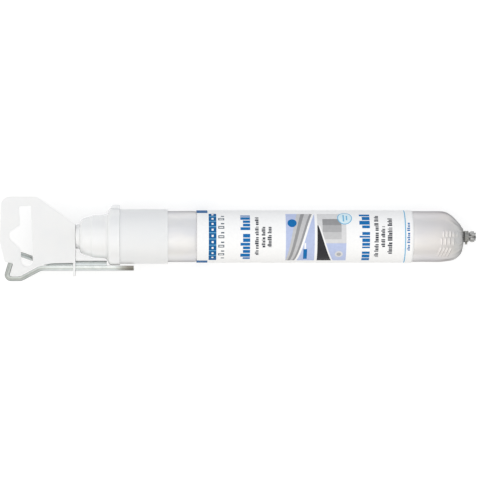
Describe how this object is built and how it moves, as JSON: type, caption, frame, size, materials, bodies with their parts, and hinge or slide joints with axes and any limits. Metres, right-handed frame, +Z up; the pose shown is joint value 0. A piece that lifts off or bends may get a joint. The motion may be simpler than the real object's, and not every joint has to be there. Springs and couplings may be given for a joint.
{
  "type": "caulk tube",
  "caption": "Small foil press pack of sealant lying on its side: printed film label, white collar and screw-on nozzle, hang tab with a hanging slot, and a bent wire winding key.",
  "frame": {"origin": "on the surface the pack lies on, under the middle of the label", "axes": "+X along the pack towards its gathered tail, -X towards the nozzle and hang tab, +Z up with the hang tab's face up"},
  "size_m": [0.2372, 0.042, 0.0288],
  "materials": {
    "foil": "metallised silver laminate film, satin, softly creased",
    "label_film": "white printed film, satin",
    "clip_metal": "dull crimped metal",
    "white_plastic": "white moulded plastic, semi-gloss",
    "frosted_plastic": "frosted translucent white plastic",
    "steel_wire": "drawn half-round wire, bright"
  },
  "bodies": {
    "pack": {"foil_pack": "foil", "label_wrap": "label_film", "tail_clip": "clip_metal", "collar": "white_plastic"},
    "nozzle": {"nozzle": "white_plastic"},
    "hanger": {"hang_tab": "frosted_plastic"},
    "key": {"winding_key": "steel_wire"}
  },
  "joints": [
    {"name": "nozzle_turn", "type": "hinge", "parent": "pack", "child": "nozzle", "pos_m": [-0.0919, 0, 0.0145], "axis": [-1, 0, 0], "range_deg": [0, 540]},
    {"name": "hang_tab_pull", "type": "slide", "parent": "nozzle", "child": "hanger", "axis": [-1, 0, 0], "range_m": [0, 0.03]},
    {"name": "key_draw", "type": "slide", "parent": "hanger", "child": "key", "axis": [-1, 0, 0], "range_m": [0, 0.035]}
  ]
}
